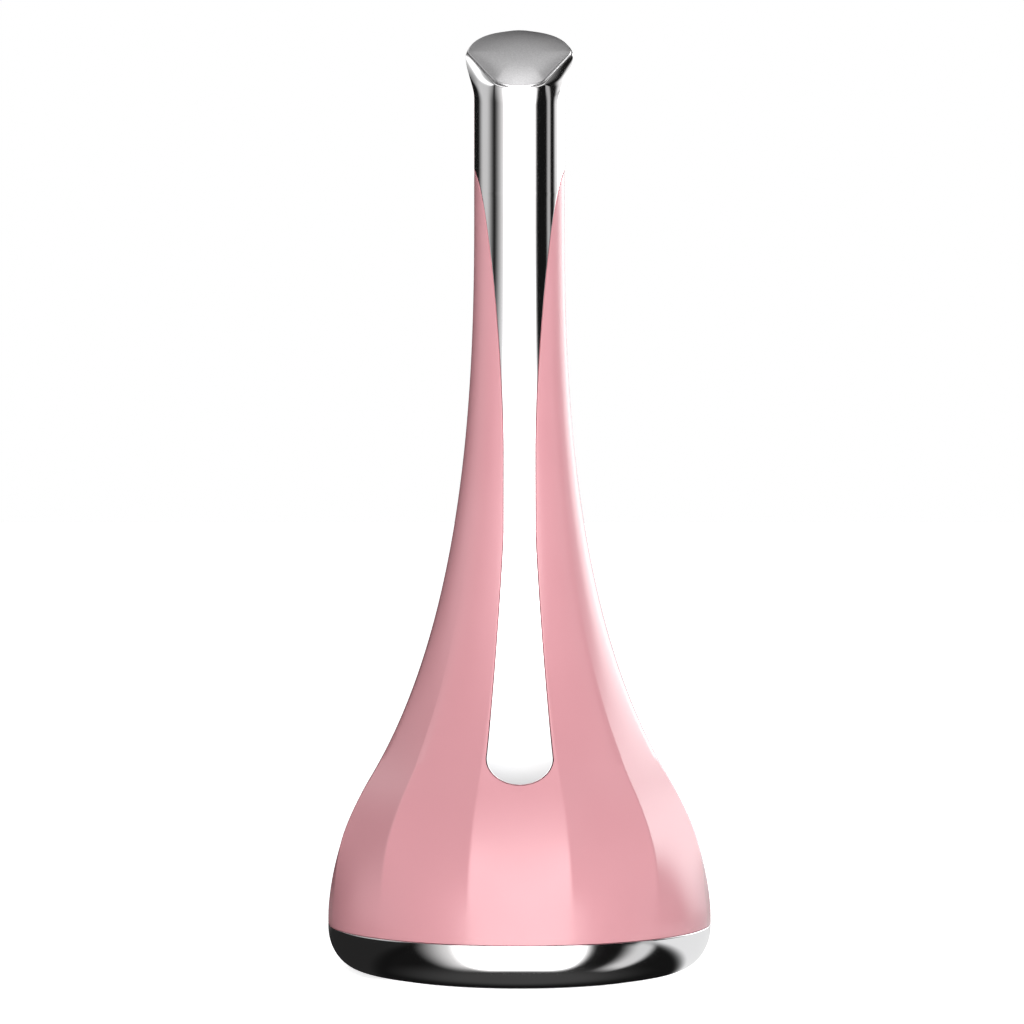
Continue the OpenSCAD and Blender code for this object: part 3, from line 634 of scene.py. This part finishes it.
def cutBack(piece):  # holes for the button, the light pipe and the socket
    b = back
    cutters = []
    for z, radius in ((b["buttonHeight"], b["buttonRadius"] + b["buttonGap"]),
                      (b["lightHeight"], b["lightRadius"] + b["lightGap"])):
        deselectAll()
        bpy.ops.mesh.primitive_cylinder_add(vertices=96, radius=radius * mm, depth=b["cutDepth"] * mm,
                                            location=(0, b["cutMiddle"] * mm, z * mm),
                                            rotation=(math.pi / 2, 0, 0))
        cutters.append(bpy.context.object)
    wide, tall = b["socketWide"] + 2 * b["socketGap"], b["socketTall"] + 2 * b["socketGap"]
    deselectAll()
    bpy.ops.mesh.primitive_cube_add(size=1, location=(0, b["cutMiddle"] * mm, b["socketHeight"] * mm),
                                    scale=(wide * mm, b["cutDepth"] * mm, tall * mm))
    slot = bpy.context.object
    bpy.ops.object.transform_apply(location=False, rotation=False, scale=True)
    bpy.ops.object.mode_set(mode="EDIT")
    bpy.ops.mesh.select_all(action="DESELECT")
    bpy.ops.object.mode_set(mode="OBJECT")
    for e in slot.data.edges:
        a, c = (slot.data.vertices[k].co for k in e.vertices)
        e.select = abs(a.y - c.y) > b["cutDepth"] / 2 * mm
    bpy.ops.object.mode_set(mode="EDIT")
    bpy.ops.mesh.bevel(offset=tall / 2 * 0.999 * mm, segments=12)  # just short of a half round
    bpy.ops.object.mode_set(mode="OBJECT")
    cutters.append(slot)
    for cutter in cutters:
        useOnly(piece)
        cut = piece.modifiers.new("hole", "BOOLEAN")
        cut.operation, cut.solver, cut.object = "DIFFERENCE", "EXACT", cutter
        bpy.ops.object.modifier_apply(modifier=cut.name)
        bpy.data.objects.remove(cutter)


# the chrome spine with its head: a strip up the front and a band round under the slanted face
chrome = dict(across=96, behind=60, rowStep=0.8, tipRowStep=0.15, tipBelow=4, tipAbove=0.6, endRows=14,
              headRows=30, lipDepths=(2.5, 2.4, 2.3, 2.2, 2.1, 2.0), bevelRows=10,
              thick=1.2, lipWall=0.07, thickFrom=1, thickBy=3,  # the wall grows to full between two depths
              edgeRound=0.09, edgeAngle=math.radians(50))


def bevelFoot(angle):  # where the bevel meets the flare
    width = rimRadius(angle) - head["lipThickness"] - plateRadius(angle)
    return headPoint(angle, headShare(angle, max(head["bevelStart"], head["bevelSlope"] * width)))


def bevelTop(angle):  # where the bevel meets the plate
    p = roundPoint(angle, plateRadius(angle), 0)
    return Vector((p.x, p.y, faceHeight(p.y)))


def bevelPoint(angle, foot, top, share):
    outward = roundPoint(angle, head["bulgeOut"], head["bulgeUp"])
    bulge = head["bevelBulge"] * (top - foot).length * math.sin(math.pi * share)
    return foot.lerp(top, share) + outward * bulge


def makeSpine(material):
    s, c = spine, chrome
    count = c["across"]
    tipLow, tipHigh = s["lapelHeight"] - c["tipBelow"], s["lapelHeight"] + c["tipAbove"]
    heights = (endHeights(0, c["endRows"]) + span(s["tongueHeight"], tipLow, c["rowStep"])
               + span(tipLow, tipHigh, c["tipRowStep"]) + span(tipHigh, head["flareHeight"], c["rowStep"]))
    frontShares = [2 * i / count - 1 for i in range(count + 1)]
    rows = [[skinPoint(u * spineAngle(z), z) for u in frontShares] for z in heights]
    front = [u * s["sideAngle"] for u in frontShares]
    for k in range(c["headRows"] + 1):
        rows.append([headPoint(a, headShare(a, head["lipHeight"]) * k / c["headRows"]) for a in front])
    strip = wrapGrid("frontSpine", rows)
    backAngle = 360 - 2 * s["sideAngle"]
    ring = front + [s["sideAngle"] + backAngle * i / c["behind"] for i in range(1, c["behind"] + 1)]
    rows = [[headPoint(a, headShare(a, depth)) for a in ring] for depth in c["lipDepths"]]
    bevel = [(a, bevelFoot(a), bevelTop(a)) for a in ring]
    rows += [[bevelPoint(*line, k / c["bevelRows"]) for line in bevel] for k in range(c["bevelRows"] + 1)]
    band = wrapGrid("headBand", rows)
    piece = joinPieces([strip, band])
    weld(piece)
    thin = piece.vertex_groups.new(name="thin")
    low = c["lipWall"] / c["thick"]
    for v in piece.data.vertices:
        p = v.co / mm
        depth = (faceHeight(p.y) - p.z) * math.cos(head["tilt"])
        grown = smoothStep((depth - c["thickFrom"]) / (c["thickBy"] - c["thickFrom"]))
        thin.add([v.index], low + (1 - low) * grown, "REPLACE")
    useOnly(piece)
    wall = piece.modifiers.new("wall", "SOLIDIFY")
    wall.thickness, wall.offset = c["thick"] * mm, -1
    wall.vertex_group, wall.thickness_vertex_group = "thin", 0
    bpy.ops.object.modifier_apply(modifier=wall.name)
    roundEdges(piece, c)
    smooth(piece, 35)
    return finishPiece(piece, "housing", "polished_chrome", material, "front_spine")


# the warm plate in the slanted face, a disc with a rounded shoulder and a domed crown
plate = dict(gap=0.03, thick=1.1, sideRow=-0.3, dome=1.1, domeRadius=8.4, around=160,
             shoulder=0.3, shoulderTurn=80, proud=0.12, rings=14)


def facePoint(x, y, h):  # a point in the slanted face's own frame
    return Matrix.Translation((0, 0, faceMiddle)) @ Matrix.Rotation(head["tilt"], 4, "X") @ Vector((x, y, h))


def plateRing(inset, share, h, dome=0):  # the dome is round in the middle and flush all along the edge
    ring = []
    for j in range(plate["around"] + 1):
        a = 360 * j / plate["around"]
        edge, t = plateRadius(a) - plate["gap"] - inset, math.radians(a)
        r = edge * share
        crown = 1 - (r / plate["domeRadius"]) ** 2
        rim = 1 - (edge / plate["domeRadius"]) ** 2
        lifted = h + dome * (crown - share ** 4 * rim)
        ring.append(facePoint(r * math.sin(t), -r * math.cos(t) / math.cos(head["tilt"]), lifted))
    return ring


def makePlate(material):
    p = plate
    rows = [plateRing(0, share, -p["thick"]) for share in (0, 0.5, 1)] + [plateRing(0, 1, p["sideRow"])]
    for degrees in range(0, p["shoulderTurn"] + 1, 10):
        a = math.radians(degrees)
        inset, edge = p["shoulder"] * (1 - math.cos(a)), p["proud"] + p["shoulder"] * math.sin(a)
        rows.append(plateRing(inset, 1, edge))
    for i in range(p["rings"] - 1, -1, -1):
        rows.append(plateRing(inset, i / p["rings"], edge, p["dome"] - edge))
    piece = wrapGrid("massagePlate", rows)
    weld(piece)
    smooth(piece, 40)
    return finishPiece(piece, "housing", "satin_metal", material, "massage_plate")


# the chrome ring that the bell stands in, with the lip that goes up inside the shell
ringPiece = dict(around=180, edgeWide=5, edgeHeight=6.5, proud=0.4, padRadius=22.1, padDepth=1.0, floor=2.8,
                 wallRow=6.62, top=6.85, lipRadius=26.55, lipTop=8.9, lipInner=25.25, edgeRound=0.08)


def revolve(name, outline, around):
    rows = [[roundPoint(360 * j / around, r, z) for j in range(around + 1)] for r, z in outline]
    piece = wrapGrid(name, rows)
    weld(piece)
    return piece


def makeRing(material):
    r = ringPiece
    outer = wand["bellRadius"]
    low = outer - r["edgeWide"]
    outline = [(0, r["padDepth"]), (r["padRadius"], r["padDepth"]), (r["padRadius"], r["proud"])]
    for a in range(0, 91, 3):
        t = math.radians(a)
        outline.append((low + r["edgeWide"] * math.sin(t),
                        r["edgeHeight"] - (r["edgeHeight"] - r["proud"]) * math.cos(t)))
    outline += [(outer, r["wallRow"]), (outer, r["top"] - r["edgeRound"])]
    for a in (30, 60, 90):
        t = math.radians(a)
        outline.append((outer - r["edgeRound"] * (1 - math.cos(t)),
                        r["top"] - r["edgeRound"] * (1 - math.sin(t))))
    outline += [(r["lipRadius"], r["top"]), (r["lipRadius"], r["lipTop"]), (r["lipInner"], r["lipTop"]),
                (r["lipInner"], r["floor"]), (0, r["floor"])]
    piece = revolve("baseRing", outline, r["around"])
    smooth(piece, 32)
    return finishPiece(piece, "housing", "polished_chrome", material, "base_ring")


# the button in the back, flush with the bell's slope and dished for a fingertip
button = dict(around=96, dishRadius=18, dishDepth=0.35, rimRound=0.3, flangeOut=0.8, flangeThick=1,
              dishRings=(3.55, 3.4, 3.2, 2.9, 2.5, 2, 1.5, 1, 0.5, 0))


def makeButton(material):
    b, z0 = back, back["buttonHeight"]
    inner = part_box("power_button")[0].y / mm
    crown = skinRadius(z0) + b["buttonProud"]
    slope = (skinRadius(z0 - 1) - skinRadius(z0 + 1)) / 2
    radius, rim = b["buttonRadius"], button["rimRound"]

    def faceY(rho, up):
        dish = button["dishDepth"] - (button["dishRadius"] - math.sqrt(button["dishRadius"] ** 2 - rho * rho))
        return crown - slope * up - max(0, dish)

    rings = [("flat", 0, inner), ("flat", radius + button["flangeOut"], inner),
             ("flat", radius + button["flangeOut"], inner + button["flangeThick"]),
             ("flat", radius, inner + button["flangeThick"])]
    rings += [("face", radius - rim * (1 - math.cos(math.radians(a))), -rim * (1 - math.sin(math.radians(a))))
              for a in (0, 15, 30, 45, 60, 75, 90)]
    rings += [("face", r, 0) for r in button["dishRings"]]
    rows = []
    for kind, r, depth in rings:
        row = []
        for j in range(button["around"] + 1):
            a = 2 * math.pi * j / button["around"]
            x, up = r * math.sin(a), r * math.cos(a)
            row.append(Vector((x, depth if kind == "flat" else faceY(r, up) + depth, z0 + up)))
        rows.append(row)
    piece = wrapGrid("powerButton", rows)
    weld(piece)
    smooth(piece, 35)
    return finishPiece(piece, "button", "polished_chrome", material, "power_button")


def dressNodes(chromeMaterial):  # finishes on the construction's own pieces
    finishes = {
        "dark_silicone": plainFinish("darkSilicone", linear(58, 58, 60), 0.62, grain=1500),
        "heater_film": plainFinish("amberFilm", linear(196, 122, 48), 0.35, coat=0.3),
        "foam": plainFinish("paleFoam", linear(232, 226, 208), 0.85, grain=1800, grainStrength=1.0),
        "foam_black": plainFinish("blackFoam", linear(38, 38, 38), 0.9, grain=1800, grainStrength=1.0),
        "natural_plastic": plainFinish("naturalPlastic", linear(222, 220, 208), 0.45),
        "black_plastic": plainFinish("blackPlastic", linear(34, 34, 36), 0.45),
        "screw_steel": plainFinish("drawnSteel", linear(176, 177, 180), 0.3, 1.0),
        "cell_wrap": plainFinish("shrinkWrap", linear(62, 116, 190), 0.3, coat=0.2),
        "nickel": plainFinish("nickelStrip", linear(206, 200, 186), 0.34, 1.0),
        "board_green": plainFinish("solderMask", linear(24, 92, 52), 0.32, coat=0.4),
        "switch_red": plainFinish("switchPlastic", linear(176, 44, 38), 0.4),
        "light_resin": plainFinish("frostedResin", linear(244, 244, 240), 0.3, tone=0.02),
        "motor_steel": plainFinish("motorCan", linear(180, 180, 184), 0.26, 1.0),
        "magnet_dark": plainFinish("sinteredMetal", linear(92, 92, 96), 0.5, 1.0),
        "copper_coil": plainFinish("enamelledCopper", linear(190, 112, 60), 0.35, 1.0, grain=3000,
                                   grainStrength=1.0),
        "lead_sheath": plainFinish("leadSheath", linear(206, 202, 198), 0.5),
        "polished_chrome": chromeMaterial,
    }
    slots = {part["node"]: part["material_slot"] for part in frame["record"]["subparts"]}
    for name, node in frame["nodes"].items():
        finish = finishes.get(slots[name])
        if finish is None:
            continue
        if not node.material_slots:
            node.data.materials.append(finish)
        for slot in node.material_slots:
            slot.material = finish


pink, mirror, satin = makePink(), makeChrome(), makeSatin()
dressNodes(mirror)
print("finishes are on the inner pieces")
makeCamera()
makeWorld()
makeLamps()
makeFloor()
print("studio is set")
makeShell(pink)
print("shell is made")
makeSpine(mirror)
makePlate(satin)
print("spine and plate are made")
makeRing(mirror)
makeButton(mirror)
print("ring and button are made")

scene = bpy.context.scene
scene.view_settings.view_transform = "Standard"
